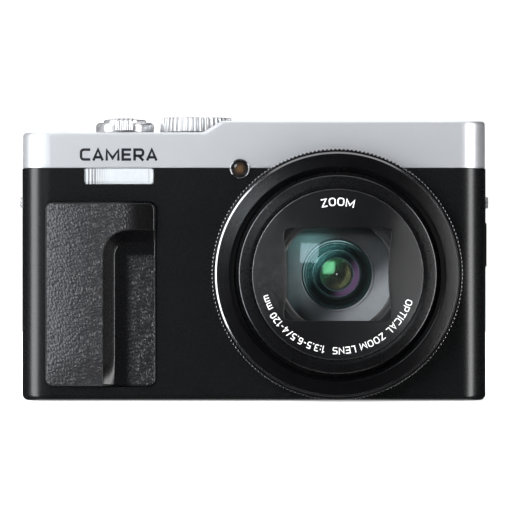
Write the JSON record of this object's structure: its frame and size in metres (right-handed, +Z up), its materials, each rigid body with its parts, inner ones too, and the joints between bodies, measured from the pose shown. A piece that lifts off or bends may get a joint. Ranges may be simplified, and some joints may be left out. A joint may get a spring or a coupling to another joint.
{
  "type": "compact digital camera",
  "caption": "Pocket camera with a telescoping zoom lens in a control ring, a textured grip, a stepped silver top plate with dial and shutter, and a monitor that flips up.",
  "frame": {"origin": "centre of the bounding box in X and Y, on the base plane on which the camera stands", "axes": "+X to the right as seen from the front, +Y from the front to the back, +Z up; the lens points along -Y"},
  "size_m": [0.1134, 0.0412, 0.0683],
  "materials": {
    "black_body": "satin black moulding",
    "silver_plate": "fine satin anodised",
    "grip_rubber": "leather-grained rubber",
    "clear_plastic": "clear moulded",
    "reflector": "bright metallised",
    "lamp_glass": "dark amber",
    "lens_metal": "satin black with polished edges",
    "lens_plastic": "black",
    "coated_glass": "multicoated",
    "steel": "plain",
    "board": "solder mask",
    "sensor": "cover glass",
    "battery_case": "wrapped",
    "card": "plain",
    "latch": "plain",
    "control_metal": "machined bright",
    "screen_glass": "gloss black",
    "motor": "plain",
    "capacitor": "sleeved"
  },
  "bodies": {
    "casing": {"front_cover": "black_body", "rear_cover": "black_body", "top_plate": "silver_plate", "grip_pad": "grip_rubber", "thumb_pad": "grip_rubber", "flash_window": "clear_plastic", "flash_reflector": "reflector", "flash_tube": "clear_plastic", "flash_capacitor": "capacitor", "lamp_bezel": "control_metal", "lamp_lens": "lamp_glass", "lens_collar": "lens_metal", "lens_base": "lens_metal", "image_sensor": "sensor", "sensor_board": "board", "zoom_motor": "motor", "main_board": "board", "top_board": "board", "rear_board": "board", "battery": "battery_case", "battery_box": "lens_plastic", "memory_card": "card", "tripod_socket": "steel", "strap_lugs": "steel", "case_screws": "steel", "port_sockets": "steel", "hinge_bracket": "steel", "hinge_pin": "steel"},
    "ring": {"control_ring": "lens_metal"},
    "first_stage": {"outer_barrel": "lens_metal"},
    "second_stage": {"inner_barrel": "lens_metal", "name_ring": "lens_plastic", "front_cell": "lens_plastic", "front_element": "coated_glass", "shutter_unit": "lens_plastic"},
    "zoom_group": {"zoom_cell": "lens_plastic", "zoom_element": "coated_glass"},
    "focus_group": {"focus_carriage": "lens_plastic", "focus_element": "coated_glass"},
    "upper_barrier": {"upper_blade": "lens_metal"},
    "upper_barrier_follower": {"upper_follower": "lens_metal"},
    "lower_barrier": {"lower_blade": "lens_metal"},
    "lower_barrier_follower": {"lower_follower": "lens_metal"},
    "lever": {"zoom_lever": "control_metal"},
    "release": {"shutter_button": "control_metal"},
    "dial": {"mode_dial": "control_metal"},
    "power_key": {"power_button": "control_metal"},
    "record_key": {"record_button": "control_metal"},
    "thumb_dial": {"rear_dial": "black_body"},
    "set_key": {"set_button": "black_body"},
    "menu_key": {"menu_button": "black_body"},
    "play_key": {"play_button": "black_body"},
    "display_key": {"display_button": "black_body"},
    "delete_key": {"delete_button": "black_body"},
    "monitor": {"monitor_frame": "black_body", "monitor_glass": "screen_glass"},
    "door": {"battery_door": "black_body"},
    "lock": {"door_lock": "black_body"},
    "latch": {"battery_latch": "latch"},
    "port_cover": {"port_door": "black_body"}
  },
  "joints": [
    {"name": "lens_extend", "type": "slide", "parent": "casing", "child": "first_stage", "axis": [0, -1, 0], "range_m": [0, 0.016]},
    {"name": "second_stage_extend", "type": "slide", "parent": "first_stage", "child": "second_stage", "axis": [0, -1, 0], "range_m": [0, 0.017]},
    {"name": "zoom_group_travel", "type": "slide", "parent": "second_stage", "child": "zoom_group", "axis": [0, 1, 0], "range_m": [0, 0.004]},
    {"name": "focus_travel", "type": "slide", "parent": "casing", "child": "focus_group", "axis": [0, -1, 0], "range_m": [0, 0.0012]},
    {"name": "barrier_close", "type": "slide", "parent": "second_stage", "child": "upper_barrier", "axis": [0, 0, -1], "range_m": [0, 0.01125]},
    {"name": "upper_follower_close", "type": "slide", "parent": "second_stage", "child": "upper_barrier_follower", "axis": [0, 0, -1], "range_m": [0, 0.00562]},
    {"name": "lower_barrier_close", "type": "slide", "parent": "second_stage", "child": "lower_barrier", "axis": [0, 0, 1], "range_m": [0, 0.01125]},
    {"name": "lower_follower_close", "type": "slide", "parent": "second_stage", "child": "lower_barrier_follower", "axis": [0, 0, 1], "range_m": [0, 0.00562]},
    {"name": "control_ring_turn", "type": "hinge", "parent": "casing", "child": "ring", "pos_m": [0.0199, -0.0126, 0.0304], "axis": [0, -1, 0], "continuous": true},
    {"name": "zoom_lever_turn", "type": "hinge", "parent": "casing", "child": "lever", "pos_m": [-0.0313, 0.0034, 0.0656], "axis": [0, 0, 1], "range_deg": [-20, 20], "stiffness_Nm_per_rad": 0.02},
    {"name": "shutter_press", "type": "slide", "parent": "casing", "child": "release", "axis": [0, 0, -1], "range_m": [0, 0.0008], "stiffness_N_per_m": 500, "springref_m": -0.0005},
    {"name": "mode_dial_turn", "type": "hinge", "parent": "casing", "child": "dial", "pos_m": [-0.014, 0.006, 0.0665], "axis": [0, 0, 1], "continuous": true},
    {"name": "power_press", "type": "slide", "parent": "casing", "child": "power_key", "axis": [0, 0, -1], "range_m": [0, 0.0003], "stiffness_N_per_m": 400, "springref_m": -0.0004},
    {"name": "record_press", "type": "slide", "parent": "casing", "child": "record_key", "axis": [0, 0, -1], "range_m": [0, 0.0003], "stiffness_N_per_m": 400, "springref_m": -0.0004},
    {"name": "rear_dial_turn", "type": "hinge", "parent": "casing", "child": "thumb_dial", "pos_m": [-0.0365, 0.019, 0.0205], "axis": [0, 1, 0], "continuous": true},
    {"name": "set_press", "type": "slide", "parent": "casing", "child": "set_key", "axis": [0, -1, 0], "range_m": [0, 0.0005], "stiffness_N_per_m": 400, "springref_m": -0.0004},
    {"name": "menu_press", "type": "slide", "parent": "casing", "child": "menu_key", "axis": [0, -1, 0], "range_m": [0, 0.0005], "stiffness_N_per_m": 400, "springref_m": -0.0004},
    {"name": "play_press", "type": "slide", "parent": "casing", "child": "play_key", "axis": [0, -1, 0], "range_m": [0, 0.0005], "stiffness_N_per_m": 400, "springref_m": -0.0004},
    {"name": "display_press", "type": "slide", "parent": "casing", "child": "display_key", "axis": [0, -1, 0], "range_m": [0, 0.0005], "stiffness_N_per_m": 400, "springref_m": -0.0004},
    {"name": "delete_press", "type": "slide", "parent": "casing", "child": "delete_key", "axis": [0, -1, 0], "range_m": [0, 0.0005], "stiffness_N_per_m": 400, "springref_m": -0.0004},
    {"name": "monitor_tilt", "type": "hinge", "parent": "casing", "child": "monitor", "pos_m": [0.0168, 0.0195, 0.0546], "axis": [1, 0, 0], "range_deg": [0, 180]},
    {"name": "battery_door_open", "type": "hinge", "parent": "casing", "child": "door", "pos_m": [-0.0363, 0.00925, 0.0008], "axis": [1, 0, 0], "range_deg": [0, 95]},
    {"name": "door_lock_slide", "type": "slide", "parent": "door", "child": "lock", "axis": [0, 1, 0], "range_m": [0, 0.0025]},
    {"name": "battery_latch_slide", "type": "slide", "parent": "casing", "child": "latch", "axis": [1, 0, 0], "range_m": [0, 0.002], "stiffness_N_per_m": 60, "springref_m": -0.001},
    {"name": "port_door_open", "type": "hinge", "parent": "casing", "child": "port_cover", "pos_m": [0.0556, 0.0069, 0.03745], "axis": [0, 0, 1], "range_deg": [0, 95]}
  ],
  "couplings": [
    {"joint": "second_stage_extend", "follows": "lens_extend", "ratio": 1.0625},
    {"joint": "zoom_group_travel", "follows": "lens_extend", "ratio": 0.25},
    {"joint": "upper_follower_close", "follows": "barrier_close", "ratio": 0.5},
    {"joint": "lower_barrier_close", "follows": "barrier_close", "ratio": 1},
    {"joint": "lower_follower_close", "follows": "barrier_close", "ratio": 0.5}
  ]
}
